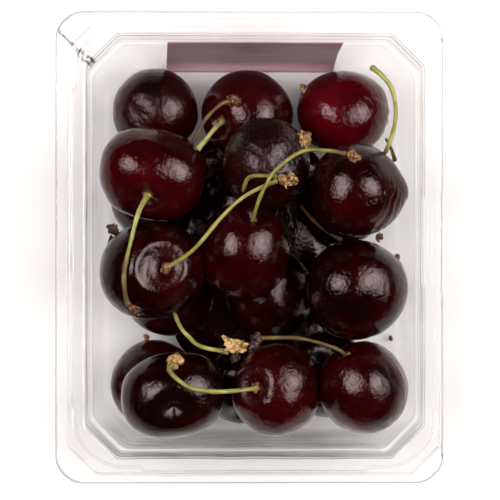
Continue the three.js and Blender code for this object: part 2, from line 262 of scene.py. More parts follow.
# Rings of points in plan for every level: each side is straight with its swell, then turns
# the corner by a fillet, a cut and a second fillet.
def trayRings(levels):
    halfX, halfY, z, leg, radius, shiftX, shiftY = (levels[:, i, None] for i in range(7))
    tangent = radius * math.tan(math.pi / 8)
    parts = []
    for side in range(4):
        reach, width = (halfY, halfX) if side % 2 else (halfX, halfY)
        straight = width - leg - tangent
        place = np.linspace(-1, 1, tray["sideSteps"][side] + 2)[1:-1][None]
        bump = np.zeros_like(place)
        if tray["swellSpans"][side]:
            a, b, c, d = tray["swellSpans"][side]
            bump = smoothStep(a, b, place) * (1 - smoothStep(c, d, place))
        sideOut = reach + levels[:, 7 + side, None] * bump
        first = np.linspace(0, math.pi / 4, 9)[None]
        second = first + math.pi / 4
        firstOut, firstAlong = reach - radius + radius * np.cos(first), straight + radius * np.sin(first)
        secondOut = reach - leg - tangent + radius * np.cos(second)
        secondAlong = width - radius + radius * np.sin(second)
        share = np.linspace(0, 1, tray["cutSteps"][side] + 2)[1:-1][None]
        cutOut = firstOut[:, -1:] * (1 - share) + secondOut[:, :1] * share
        cutAlong = firstAlong[:, -1:] * (1 - share) + secondAlong[:, :1] * share
        out = np.concatenate([sideOut, firstOut, cutOut, secondOut], axis=1)
        along = np.concatenate([straight * place, firstAlong, cutAlong, secondAlong], axis=1)
        turn = side * math.pi / 2
        x = shiftX + out * math.cos(turn) - along * math.sin(turn)
        y = shiftY + out * math.sin(turn) + along * math.cos(turn)
        parts.append(np.stack([x, y, np.broadcast_to(z, x.shape)], axis=-1))
    return np.concatenate(parts, axis=1)


# Fine creases that a knock left across the far left corner of the rim, as lines in plan, and
# the bruise that they end in.
creases = {
    "lines": [((-57.5, 65.1), (-51.8, 59.5)), ((-51.2, 58.9), (-46.1, 55.3)),
              ((-51.8, 57.4), (-47, 54.1))],
    "lowest": 55,  # height above which they show
    "halfWidth": 0.22,
    "depth": 0.22,
    "bruise": (-46.5, 55.2),
    "bruiseRadius": 0.85,
}


# How close points are in plan to the crease lines, from 0 to 1: a bell curve of the distance
# to the nearest point of each line. The bruise is a bell curve round its middle.
def creaseMark(points):
    plan = points[..., :2]
    marked = np.zeros(plan.shape[:-1])
    for start, end in creases["lines"]:
        start, run = np.array(start), np.array(end) - np.array(start)
        share = np.clip(((plan - start) @ run) / (run @ run), 0, 1)
        away = np.linalg.norm(plan - start - share[..., None] * run, axis=-1)
        marked = np.maximum(marked, bell(away, creases["halfWidth"]))
    away = np.linalg.norm(plan - creases["bruise"], axis=-1)
    onRim = points[..., 2] > creases["lowest"]
    return marked * onRim, bell(away, creases["bruiseRadius"]) * onRim


# How much painted reflection of the dark fruit darkens the walls and how much painted shade darkens the
# flange: each sets in towards the near and the left wall, the near one weaker at its ends, and slow waves
# make the painted reflection patchy up and down.
def wallMarks(points, height):
    x, y = points[..., 0], points[..., 1]
    outer, inner, share = tray["nearEnds"]
    nearWall = smoothStep(*tray["nearWall"], y) * (1 - share + share * smoothStep(outer, inner, np.abs(x)))
    leftWall = smoothStep(*tray["leftWall"], x)
    flat = smoothStep(*tray["flatFrom"], height)
    strength, waveLength = tray["patches"]
    patchy = smoothStep(1, 6, height) * (1 + strength * uneven(points * (0.15, 0.15, 1), waveLength, 9))
    smoke = np.maximum(nearWall * tray["nearPaintedReflection"], leftWall * tray["leftPaintedReflection"])
    smoke = np.maximum(smoke, tray["wallPaintedReflection"]) * (1 - flat) * patchy
    haze = np.maximum(nearWall * tray["nearPaintedShade"], leftWall * tray["leftPaintedShade"]) * flat
    return smoke, haze


# The formed sheet: the profile carried round the outline, made slightly wavy along its normals, and a
# second skin one wall thickness below it. Each point is marked with how near a bend of the sheet it is,
# measured along the profile, and the creases join that mark; the material paints it as dark lines, a
# painted reflection of the bends.
def makeTray():
    levels, bendRows = trayProfile()
    upper = trayRings(levels)
    normals = gridNormals(upper)
    steps = np.linalg.norm(np.diff(levels[:, :3], axis=0), axis=1)
    travelled = np.concatenate([[0], np.cumsum(steps)])
    bendMark = np.zeros(len(levels))
    for row, strength in zip(bendRows, tray["bendStrengths"]):
        bendMark = np.maximum(bendMark, strength * bell(travelled - travelled[row], tray["bendWidth"]))
    crease, bruise = creaseMark(upper)
    height, outwards = upper[..., 2], np.abs(upper[..., :2])
    fromEdge = (outwards.max(axis=(0, 1)) - outwards).min(axis=-1)
    free = smoothStep(2, 8, height) * smoothStep(0.5, 3, fromEdge)
    slow, fast = tray["waveLengths"]
    waves = uneven(upper, slow, 5) + 0.35 * uneven(upper, fast, 6)
    lines = uneven(upper * (0.12, 0.12, 1), tray["lineSpacing"], 8)
    lines = lines * smoothStep(6, 12, height) * (height < tray["flatFrom"][0] + 0.5)
    raised = tray["waviness"] * waves * free + tray["drawLines"] * lines - creases["depth"] * crease
    upper = upper + normals * raised[..., None]
    lower = upper - gridNormals(upper) * tray["wall"]
    lower[..., 2] = np.maximum(lower[..., 2], 0)
    # painted reflection of the dark fruit on the walls and painted shade on the near and left flange
    smoke, haze = wallMarks(upper, height)
    marks = {"bend": np.maximum(bendMark[:, None], crease), "bruise": bruise, "smoke": smoke, "haze": haze}
    grid = np.clip(thereAndBack(upper, lower), np.array(cadLow) / mm, np.array(cadHigh) / mm)
    marks = {name: thereAndBack(values) for name, values in marks.items()}
    return joinSkins("clear_tray", [closeSkin(grid, marks)])


clearTray = makeTray()
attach(clearTray, "root")
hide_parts("punnet")
print("tray made")


# Each cherry: place of its centre in plan, half widths across and deep, half length along
# the stem axis, lean and heading of that axis in degrees, then its looks: tone from 0,
# nearly black, to 1, red; how wrinkled it is; and the side of its seam in degrees. A lean
# past 90 turns the hollow of the stem down, out of sight.
bottomLayer = [
    (-29.3, 43.5, 13.6, 13.6, 12.6, 155, 20, 0.5, 0.9, 250),
    (-0.2, 41.9, 14.6, 14.8, 14.2, 52, 193, 0.55, 0.3, 150),
    (30.3, 42.9, 14.6, 13.9, 13, 150, 270, 0.9, 0.5, 210),
    (-30.8, 15.2, 12.8, 12.6, 12, 40, 150, 0.2, 0.3, 10),
    (29.7, 14.2, 13.5, 13.5, 12.8, 35, 20, 0.05, 0.2, 300),
    (-2.6, 14.4, 13, 12.8, 12.4, 60, 100, 0.05, 0.2, 40),
    (-24.8, -13.9, 14.3, 14.3, 13.4, 20, 280, 0.15, 0.3, 80),
    (7, -14.5, 14.2, 14.7, 13.8, 120, 343, 0.25, 0.5, 120),
    (34.6, -13.4, 12.6, 12.4, 11.8, 70, 60, 0.2, 0.2, 30),
    (-29.5, -42.8, 13.9, 14.4, 13.2, 45, 180, 0.3, 0.6, 250),
    (-1.6, -43.1, 12.9, 12.9, 12.4, 60, 270, 0.2, 0.3, 140),
    (25.2, -40, 13.8, 13.8, 13, 30, 120, 0.2, 0.3, 60),
]
topLayer = [
    (-29.6, 22.6, 16.2, 14.4, 13.5, 35, 259, 0.6, 0.25, 300),
    (5.6, 25.9, 14.3, 13.5, 13.3, 142, 190, 0.3, 1, 200),
    (33.1, 17.7, 14.5, 14.9, 14, 125, 215, 0.4, 0.45, 120),
    (-29.5, -6.8, 15.3, 16.4, 14, 3, 12, 0.3, 0.35, 60),
    (-1.3, -1, 14, 14.6, 15.6, 58, 76, 0.4, 0.3, 330),
    (33.1, -13, 15.6, 15.9, 14.6, 155, 120, 0.3, 0.45, 15),
    (-23.2, -45.2, 15.9, 13.2, 12.8, 18, 278, 0.2, 0.25, 95),
    (8.5, -43.6, 14.6, 13.8, 13.8, 36, 172, 0.5, 0.5, 180),
    (35.3, -43, 13.9, 14.6, 14.6, 78, 114, 0.5, 0.6, 225),
]
fruitShape = {
    "hollow": (0.2, 0.48, 0, 0, 0.13),  # depth, width, how far off the axis each way, softness
    "funnel": (0.14, 0.16),  # the narrow part round the stem's foot: depth, width
    "tipDimple": (0.05, 0.3),
    "seam": (0.016, 0.16),  # depth, half width round the fruit
    "seamDip": (0.05, 0.7, 0.45, 0.25),  # by the hollow: depth, half width, how far out, reach
    "lobes": 0.012,
    "dents": (0.0065, 0.75),  # depth, length of the waves
    "wrinkles": (0.0028, 0.17),
    "folds": (0.006, 0.3),
    "nestling": 0.955,  # how close the fruit lie, as a share of their two radii
    "facetSwell": 1.02,  # the CAD fruit are drawn this much larger, and it sets their heights
    "floorGap": 1.1,
    "topGrid": (78, 96),
    "bottomGrid": (48, 52),
    # the rest is for single fruit, by number
    "sideFolds": {2: (108, 30, 26, 0.035), 14: (100, 30, 28, 0.03),
                  20: (250, 40, 30, 0.012)},  # side, half width in degrees, how many fit round, depth
    "points": {14: (-4, 12, 1.7, 0.3)},  # heading, height in degrees, how far out, width
    "hollowTilts": {15: (-0.12, 0.28)},  # extra slope of the hollow each way
    "square": {12: 2.4, 18: 2.3},  # how boxy across, 2 is round
    "ownHollows": {12: (0.26, 0.58, 0, 0.14, 0.1), 15: (0.21, 0.52, -0.03, 0.21, 0.1),
                   18: (0.12, 0.5, 0, 0, 0.16)},
}


# Heights of the centres: the lower cherries lie on the floor, and each upper one rests on
# the highest of the lower ones within its reach.
def settleHeights():
    heights = []
    for x, y, across, deep, length, lean, *_ in bottomLayer:
        lean = math.radians(lean)
        half = math.hypot(length * math.cos(lean), deep * math.sin(lean))
        heights.append(fruitShape["floorGap"] + fruitShape["facetSwell"] * half)
    lower = np.array([fruit[:5] for fruit in bottomLayer])
    lowerRadius = lower[:, 2:5].mean(axis=1)
    for x, y, across, deep, length, *_ in topLayer:
        apart = fruitShape["nestling"] * ((across + deep + length) / 3 + lowerRadius)
        sideways = np.hypot(x - lower[:, 0], y - lower[:, 1])
        met = sideways < apart
        rise = np.sqrt(np.maximum(apart**2 - sideways**2, 0))
        heights.append(float(np.max((np.array(heights[:len(lower)]) + rise)[met])))
    return heights


# A fruit's own axes: level and square to the heading, along the stem, and square to both.
def stemAxes(lean, heading):
    lean, heading = math.radians(lean), math.radians(heading)
    flat = math.sin(lean)
    stem = np.array([flat * math.cos(heading), flat * math.sin(heading), math.cos(lean)])
    level = np.array([-math.sin(heading), math.cos(heading), 0])
    return level, stem, np.cross(level, stem)


# Angle from a side given in degrees, at most half a turn either way.
def angleFrom(turn, side):
    return np.angle(np.exp(1j * (turn - math.radians(side))))


# How far the ends of a fruit are pressed in, and how deep in the hollow a point lies: a cone
# with a soft edge and a narrow funnel at the stem end, tilted on some, and a dimple at the tip.
def pressHollow(number, polar, turn):
    depth, width, aside, ahead, softness = fruitShape["ownHollows"].get(number, fruitShape["hollow"])
    funnelDepth, funnelWidth = fruitShape["funnel"]
    tipDepth, tipWidth = fruitShape["tipDimple"]
    radius = np.sin(polar)
    offAside, offAhead = radius * np.sin(turn) - aside, radius * np.cos(turn) - ahead
    away = np.hypot(offAside, offAhead)
    inside = 1 - away / width
    pressed = (inside + np.sqrt(inside**2 + softness**2)) / 2
    funnel = np.exp(-((away / funnelWidth) ** 1.5))
    tiltAside, tiltAhead = fruitShape["hollowTilts"].get(number, (0, 0))
    tilted = tiltAside * offAside + tiltAhead * offAhead
    tilted = tilted * smoothStep(width + 0.08, width - 0.2, away)
    atStem = polar < math.pi / 2
    tip = tipDepth * bell(radius, tipWidth)
    sink = np.where(atStem, depth * pressed + funnelDepth * funnel - tilted, -tip)
    return sink, np.where(atStem, pressed, 0.0)


# A ball given by the angle from the stem end and the angle round the stem axis. Its ends are
# pressed in, a seam runs down one side, slow waves make it lopsided and softly dented, and
# finer ones wrinkle it. A power of its width makes some boxy, and one has a point.
def makeCherry(number, fruit, z, grid):
    seed = 31 + number
    x, y, across, deep, length, lean, heading, tone, wrinkled, seamSide = fruit
    shares = np.linspace(0.006, 0.994, grid[0])
    polar = (math.pi * (shares - 0.045 * np.sin(2 * math.pi * shares)))[:, None]
    turn = fullTurn(grid[1])
    radius = np.sin(polar)
    sink, hollow = pressHollow(number, polar, turn)
    seamDepth, seamWidth = fruitShape["seam"]
    dipDepth, dipWidth, dipOut, dipReach = fruitShape["seamDip"]
    fromSeam = angleFrom(turn, seamSide)
    seam = bell(fromSeam, seamWidth) * radius**0.6
    dip = bell(fromSeam, dipWidth) * radius * bell(radius - dipOut, dipReach)
    lobeTurns = np.random.default_rng(seed).uniform(0, 2 * math.pi, 2)
    lobes = np.cos(2 * turn + lobeTurns[0]) + 0.7 * np.cos(3 * turn + lobeTurns[1])
    ball = unitBall(polar, turn)
    ball[..., ::2] *= (1 + fruitShape["lobes"] * lobes - seamDepth * seam)[..., None]
    ball[..., 1] -= sink + np.where(polar < math.pi / 2, dipDepth * dip, 0)

    def waves(kind, stretch, seedStep):
        depth, waveLength = fruitShape[kind]
        return depth, uneven(ball * stretch, waveLength, seed + seedStep)

    dentDepth, dents = waves("dents", 1, 100)
    wrinkleDepth, wrinkles = waves("wrinkles", (1, 0.45, 1), 200)
    foldDepth, folds = waves("folds", (1, 0.25, 0.6), 300)
    fold = -foldDepth * smoothStep(0.3, 1.3, folds) * radius
    side, halfWidth, count, depth = fruitShape["sideFolds"].get(number, (0, 30, 10, 0))
    fromSide = angleFrom(turn, side) + 0.05 * uneven(ball, 0.6, seed + 400)
    nearSide = bell(fromSide, math.radians(halfWidth)) * radius
    pleats = -depth * nearSide * (0.5 + 0.5 * np.cos(fromSide * count))
    swell = 1 + dentDepth * dents + wrinkled * (wrinkleDepth * wrinkles + fold) + pleats
    ball = ball * swell[..., None]
    power = fruitShape["square"].get(number, 2)
    rest = np.linalg.norm(ball[..., 1:], axis=-1)
    boxed = (np.abs(ball[..., 0]) ** power + rest**power) ** (1 / power)
    ball = ball * (np.linalg.norm(ball, axis=-1) / boxed)[..., None]
    level, stem, deepAxis = stemAxes(lean, heading)
    points = ball @ np.array([level * across, stem * length, deepAxis * deep])
    if number in fruitShape["points"]:
        heading, rise, out, width = fruitShape["points"][number]
        way = stemAxes(90 - rise, heading)[1]
        points = points + (out * np.exp((unit(points) @ way - 1) / width**2))[..., None] * way
    marks = {"tone": tone, "fromStem": shares[:, None], "seam": seam, "wrinkled": wrinkled,
             "hollow": hollow}
    return closeSkin(points + (x, y, z), marks)


heights = settleHeights()
fruits = bottomLayer + topLayer
cherrySkins = []
for number, fruit in enumerate(fruits):
    fruitGrid = fruitShape["bottomGrid"] if number < len(bottomLayer) else fruitShape["topGrid"]
    cherrySkins.append(makeCherry(number, fruit, heights[number], fruitGrid))
shadeCore = {"place": (1, -1, 8.5), "half": (25, 36, 7), "square": 0.5, "grid": (30, 60), "lumps": (0.03, 0.9)}


# The dark core low between the cherries, painted shade: a nearly black mass that darkens the gaps where the
# floor would show. It is a flattened ball drawn out towards a box, by a power of each coordinate, with slow
# lumps.
def makeShadeCore():
    rows, columns = shadeCore["grid"]
    height, waveLength = shadeCore["lumps"]
    ball = unitBall(np.linspace(0.06, math.pi - 0.06, rows)[:, None], fullTurn(columns))[..., [0, 2, 1]]
    ball = np.sign(ball) * np.abs(ball) ** shadeCore["square"]
    ball = ball * (1 + height * uneven(ball, waveLength, 17))[..., None]
    # tone 0 gives it the darkest skin, as painted shade in the gaps
    marks = {"tone": 0.0, "fromStem": 0.5, "seam": 0.0, "wrinkled": 0.0, "hollow": 0.0}
    return closeSkin(ball[:, ::-1] * shadeCore["half"] + shadeCore["place"], marks)


cherrySkins.append(makeShadeCore())
cherryFruit = joinSkins("cherry_fruit", cherrySkins)
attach(cherryFruit, "root")
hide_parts("cherries")
print("cherries made")


# The routes of the stems that show, from the fruit outwards. A route with a fruit starts at
# the bottom of that cherry's hollow. Then how brown and how wide it is at its start and end.
stemRoutes = [
    (12, [(-33.4, 10.6, 52.6), (-35.2, 4, 53.4), (-37.6, -7.4, 55.2), (-37.2, -15.4, 52.6),
          (-36.2, -17.6, 51.4)], (0.05, 0.8), (1.75, 0.95)),
    (1, [(-10.6, 37, 28), (-13.4, 33.4, 31), (-17, 29, 33)], (0.1, 0.1), (1.2, 1.1)),
    (None, [(-18.4, 30.6, 33), (-13.2, 39.8, 33.6), (-8.4, 44.6, 31.8), (-5.4, 45.7, 30.4)],
     (0.85, 0.8), (0.85, 0.85)),
    (15, [(-17, -0.8, 53.6), (-8.2, 9.3, 52.6), (-0.9, 15.8, 51.6), (8.6, 20.4, 50.4)],
     (0.4, 0.3), (1.2, 0.9)),
    (None, [(-1.8, 14.2, 38), (-1.4, 18.6, 46), (0.8, 21.6, 50.2), (8.6, 21.6, 50.6)],
     (0.45, 0.35), (0.9, 0.9)),
    (16, [(3, 14.4, 51), (5.2, 19, 53), (7.9, 23.4, 53), (15.8, 29, 51.2), (23.3, 29.4, 51),
          (29.5, 28.4, 51.4)], (0.45, 0.5), (0.9, 0.85)),
    (None, [(37.5, 23.5, 19.5), (41, 27.5, 30), (42.8, 30.9, 40), (44.4, 36.6, 44), (44.8, 42.5, 46),
            (43.5, 48.2, 48), (40.3, 52.4, 49.5), (36.9, 54.9, 50.4)], (0.3, 0.1), (1, 1)),
    (None, [(42, 33.6, 41.4), (43.7, 30.6, 40.4), (45.2, 26.7, 38)], (0.85, 0.85), (0.75, 0.75)),
    (None, [(16.4, 13.4, 24), (21.5, 7.8, 22.8), (29.5, 2.4, 21.6)], (0.9, 0.9), (0.85, 0.85)),
    (6, [(-21.4, -24, 29.6), (-18.4, -27.6, 33), (-14.6, -30.5, 35), (-6, -32.2, 36)],
     (0.2, 0.35), (0.95, 0.95)),
    (19, [(-8, -43.6, 51.6), (-16.6, -42.6, 54.4), (-21.6, -39.8, 54.2), (-24.2, -36.8, 52.4),
          (-22.8, -35, 51)], (0.3, 0.35), (1, 1)),
    (20, [(27.3, -31.2, 42), (21, -29, 40.4), (14, -27.7, 38.8), (3, -27.8, 37.2)],
     (0.75, 0.7), (0.85, 0.85)),
]
stemShape = {
    "radius": 0.66,
    "flare": 0.75,  # how much wider both ends are, a foot in a hollow half as much
    "flareLength": 2.2,
    "taper": 5,
    "waves": ((0.07, 3.1), (0.04, 1.1)),  # slow changes of width: share, length
    "ridges": 0.05,
    "uneven": 0.03,
    "sides": 14,
    "spacing": 0.45,
}


# Points along a smooth line through the given ones (a Catmull-Rom curve), spaced evenly.
def smoothRoute(points, spacing):
    points = np.array(points, float)
    ends = [2 * points[0] - points[1]], [2 * points[-1] - points[-2]]
    padded = np.concatenate([ends[0], points, ends[1]])
    share = np.linspace(0, 1, 24, endpoint=False)[:, None]
    pieces = []
    for a, b, c, d in zip(padded[:-3], padded[1:-2], padded[2:-1], padded[3:]):
        pieces.append(0.5 * (2 * b + (c - a) * share + (2 * a - 5 * b + 4 * c - d) * share**2
                             + (3 * b - 3 * c + d - a) * share**3))
    line = np.concatenate([*pieces, points[-1:]])
    travelled = np.concatenate([[0], np.cumsum(np.linalg.norm(np.diff(line, axis=0), axis=1))])
    even = np.linspace(0, travelled[-1], max(4, round(travelled[-1] / spacing)))
    return np.stack([np.interp(even, travelled, line[:, i]) for i in range(3)], axis=-1), even


# A tube round a route: circles square to the route, as wide as radii says at each step and
# changed by the factors of a (rows, sides) array.
def tubeRound(route, radii, factors):
    tangents = unit(np.gradient(route, axis=0))
    chord = route[-1] - route[0]
    reference = np.cross(chord, (0, 0, 1))
    if np.linalg.norm(reference) < 0.3 * np.linalg.norm(chord):
        reference = np.array([1.0, 0, 0])
    side = unit(np.cross(tangents, np.cross(reference, tangents)))
    other = np.cross(side, tangents)
    turn = fullTurn(factors.shape[1])[..., None]
    circle = side[:, None] * np.cos(turn) + other[:, None] * np.sin(turn)
    return route[:, None] + circle * (radii[:, None] * factors)[..., None]


# The bottom of a cherry's hollow and the direction its stem leaves in.
def hollowFoot(number):
    x, y, across, deep, length, lean, heading = fruits[number][:7]
    level, stem, deepAxis = stemAxes(lean, heading)
    depth, _, aside, ahead, _ = fruitShape["ownHollows"].get(number, fruitShape["hollow"])
    middle = np.array([x, y, heights[number]]) + level * across * aside + deepAxis * deep * ahead
    return middle + stem * length * (1 - depth - fruitShape["funnel"][0]), stem


# A stem: a ridged tube along its route, wider at both ends, which are rounded off, and slowly
# wider and narrower between them.
def makeStem(fruit, points, brown, width, seed):
    points = [np.array(point, float) for point in points]
    if fruit is not None:
        points.insert(0, hollowFoot(fruit)[0])
    route, along = smoothRoute(points, stemShape["spacing"])
    share, toEnd = along / along[-1], along[-1] - along
    flare = np.exp(-along / stemShape["flareLength"]) * (0.5 if fruit is not None else 0)
    flare = flare + np.exp(-toEnd / stemShape["flareLength"])
    draw = np.random.default_rng(seed)
    slow = sum(share * np.sin(along / length + draw.uniform(0, 6)) for share, length in stemShape["waves"])
    wide = width[1] + (width[0] - width[1]) * np.exp(-along / stemShape["taper"])
    radii = stemShape["radius"] * wide * (1 + stemShape["flare"] * flare + slow)
    turn = fullTurn(stemShape["sides"])
    ridge = np.cos(4 * turn + 0.12 * along[:, None] + draw.uniform(0, 6))
    factors = 1 + stemShape["ridges"] * ridge + stemShape["uneven"] * draw.normal(size=ridge.shape)
    rounded = np.minimum(1, np.sqrt(np.minimum(along, toEnd) / 0.5 + 0.25))
    marks = {
        "alongStem": share[:, None],
        "travelled": along[:, None] + 100 * draw.uniform(),
        "cosAround": np.cos(turn),
        "sinAround": np.sin(turn),
        "brown": (brown[0] + (brown[1] - brown[0]) * share**1.5)[:, None],
    }
    return closeSkin(tubeRound(route, radii * rounded, factors), marks)


stemSkins = [makeStem(*entry, 300 + number) for number, entry in enumerate(stemRoutes)]
cherryStems = joinSkins("cherry_stems", stemSkins)
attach(cherryStems, "root")
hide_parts("cherries")
print("stems made")


# The knobs and flower ends on the stems: place, half sizes, how dark, how many scales stand
# off it, and the way it points.
knobs = [
    ((-34.9, -19, 50.3), (2.5, 2.1, 1.7), 0.6, 15, (1, -0.8, 0.3)),
    ((-4.6, 45.8, 30.2), (2.3, 2.1, 2.2), 0.5, 13, (0.6, 0.5, 0.8)),
    ((11.8, 20.4, 50.2), (3.6, 2.2, 1.9), 0.2, 22, (1, 0, 0.3)),
    ((31.6, 27.6, 51.8), (2.5, 2.3, 1.7), 0.35, 15, (1, -0.2, 0.3)),
    ((17, 32.8, 41.5), (1.9, 3.6, 2.4), 0.1, 22, (-0.2, 1, 0.4)),
    ((1.5, -30.6, 37.2), (2.4, 2.2, 1.9), 0.8, 14, (0.2, 1, 0.6)),
    ((-3.9, -33.9, 36), (1.9, 1.7, 1.4), 0.85, 9, (0.3, -1, 0.4)),
    ((-22.6, -34.6, 50.6), (2.8, 2.7, 1.9), 0.15, 18, (0.5, 1, 0.3)),
    ((2.6, -27.8, 37), (2, 2.1, 1.8), 0.7, 12, (-1, 0.3, 0.5)),
    # these two sit in shade between the cherries and the left wall, and their darkness of 0.9 is painted
    # shade
    ((-41.6, 1.9, 38), (2.2, 1.9, 2.1), 0.9, 9, (-0.4, -1, 0.6)),
    ((-41.4, 5.6, 38.4), (2, 1.8, 2), 0.9, 9, (-0.4, 1, 0.6)),
    ((17.6, 50.1, 18), (1.4, 2, 2), 0.45, 7, (0, 1, 0.3)),
    ((-32, -28.4, 15), (1.1, 1.4, 1.5), 0.3, 5, (0, 1, 0.3)),
    ((46.2, -28.9, 2.1), (0.9, 0.9, 0.8), 0.5, 3, (0, 1, 0.3)),
    ((40.2, 3.2, 37), (1.3, 1.8, 1.5), 0.6, 5, (0.3, -0.4, 0.6)),
    ((45.9, -2.9, 35), (1.1, 1.1, 1.2), 0.5, 4, (0.3, 1, 0.3)),
]
knobShape = {
    "lobes": 5,
    "lumps": 0.2,
    "lobeGrid": (18, 18),
    "flakeGrid": (9, 12),
    "flakeLength": 1.45,
    "flakeWidth": 0.6,
    "flakeThickness": 0.11,
}


# A lump: a ball whose radius is raised and lowered by slow uneven waves.
def makeLump(place, half, seed, marks):
    rows, columns = knobShape["lobeGrid"]
    ball = unitBall(np.linspace(0.12, math.pi - 0.12, rows)[:, None], fullTurn(columns))
    radius = 1 + knobShape["lumps"] * (uneven(ball, 1.5, seed) + 0.6 * uneven(ball, 0.6, seed + 1))
    return closeSkin(ball * radius[..., None] * half + place, marks)


# A flake: a thin scale that is widest past its middle, along a bent line from foot to tip.
def makeFlake(foot, tip, bend, width, marks, seed):
    rows, columns = knobShape["flakeGrid"]
    share = np.linspace(0.02, 0.99, rows)[:, None, None]
    turn = fullTurn(columns)[..., None]
    side, upwards = unit(np.cross(tip - foot, bend)), unit(bend)
    line = foot + (tip - foot) * share + bend * (4 * share * (1 - share) - 1.2 * share**3)
    wide = width * np.sin(math.pi * share**0.75 * 0.93 + 0.12)
    ragged = 1 + 0.22 * uneven(share * np.cos(turn) * np.ones(3), 0.5, seed)[..., None]
    cup = -0.35 * np.cos(turn) ** 2 * wide * upwards
    thin = knobShape["flakeThickness"] * upwards
    grid = line + side * np.cos(turn) * wide * ragged + thin * np.sin(turn) + cup
    return closeSkin(grid, {**marks, "edge": share[..., 0]})


# A knob: lumps inside its half sizes, and flakes that stand off it, most of them leaning
# the way it points.
def makeKnob(place, half, dark, flakes, way, seed):
    place, half, way = (np.array(value, float) for value in (place, half, way))
    way = unit(way)
    draw = np.random.default_rng(seed)
    skins = []
    for number in range(knobShape["lobes"]):
        middle = place + draw.uniform(-0.42, 0.42, 3) * half
        size = half * draw.uniform(0.42, 0.62)
        marks = {"dark": dark + draw.uniform(-0.15, 0.15), "edge": 0.0}
        skins.append(makeLump(middle, size, seed * 10 + number, marks))
    for number in range(flakes):
        out = unit(draw.normal(size=3) + way * 0.6)
        lean = unit(out * 0.55 + way * 0.5 + draw.normal(size=3) * 0.3)
        foot = place + out * half * 0.45
        tip = foot + lean * knobShape["flakeLength"] * draw.uniform(0.6, 1.15) * half.mean() / 2.2
        bend = np.cross(np.cross(lean, out + draw.normal(size=3) * 0.3), lean)
        bend *= draw.uniform(0.12, 0.3) / max(np.linalg.norm(bend), 0.1)
        width = knobShape["flakeWidth"] * draw.uniform(0.6, 1.2)
        marks = {"dark": dark + draw.uniform(-0.3, 0.2)}
        skins.append(makeFlake(foot, tip, bend, width, marks, seed * 100 + number))
    return skins


bract = {
    "place": (-4.2, -30.4, 37.2),
    "reach": {0: 3.9, 35: 3.3, 70: 2.4, 105: 2.3, 128: 3.4, 142: 6.2, 155: 3.2, 190: 2.9, 225: 2.3,
              270: 1.9, 310: 2.6, 340: 3.7},  # how far the torn edge is out, by degrees round
    "thickness": 0.18,
    "fold": 0.55,
    "rise": 0.95,
    "paintedHole": ((1.9, 0.9), (0.2, 0.6)),  # painted shade where a hole would show the dark behind: place and width each way
    "grid": (18, 96),
}


# The torn bract: a papery sheet round a middle, out to a ragged edge, cupped and crumpled by
# uneven waves, with an upper and a lower face that meet at its edge.
def makeBract():
    rows, columns = bract["grid"]
    turn = fullTurn(columns)
    circle = np.stack([np.cos(turn), np.sin(turn), np.zeros_like(turn)], axis=-1)
    edge = np.interp(np.degrees(turn), list(bract["reach"]), list(bract["reach"].values()), period=360)
    edge = edge * (1 + 0.07 * uneven(circle, 0.35, 72) + 0.05 * uneven(circle, 0.16, 74))
    share = np.linspace(0.04, 1, rows)[:, None]
    x, y = share * edge * np.cos(turn), share * edge * np.sin(turn)
    flat = np.stack([x, y, 0 * x], axis=-1)
    crumpled = uneven(flat, 3.2, 73) + 0.35 * uneven(flat, 1.1, 75)
    z = bract["rise"] * share**2 + bract["fold"] * share * crumpled
    thin = bract["thickness"] / 2 * np.sqrt(1.02 - share**2)
    grid = thereAndBack(*(np.stack([x, y, z + way * thin], axis=-1) for way in (1, -1)))
    (holeX, widthX), (holeY, widthY) = bract["paintedHole"]
    # a dark spot painted where a hole would show the shade behind the bract
    dark = 0.12 + 0.8 * bell(x - holeX, widthX) * bell(y - holeY, widthY) + 0.16 * uneven(flat, 2.1, 76)
    marks = {"dark": thereAndBack(dark), "edge": thereAndBack(share)}
    return [closeSkin(grid + bract["place"], marks)]


# The small dry collar round the foot of each stem that leaves a hollow.
def makeCollars():
    skins = []
    for fruit, *_ in stemRoutes:
        if fruit is not None:
            foot, stem = hollowFoot(fruit)
            skins += makeKnob(foot + stem * 0.7, (2, 2, 1.5), 0.35, 12, stem, 800 + fruit)
    return skins


knobSkins = makeBract() + makeCollars()
for number, entry in enumerate(knobs):
    knobSkins += makeKnob(*entry, 500 + number)
stemKnobs = joinSkins("stem_knobs", knobSkins)
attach(stemKnobs, "root")
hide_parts("cherries")
print("knobs made")


label = {
    "width": 53.6,
    "top": 45.6,
    "tail": 70,  # degrees that it goes on round the bend at the wall's foot
    "thickness": 0.3,
    "standOff": 0.35,  # from the wall to the middle of the film
    "centreX": 2,
    "turn": 1.5,  # degrees that it hangs askew
    "curl": (0.05, 22),  # height and length of its slow waves
    "steps": (64, 61),  # down, across
}


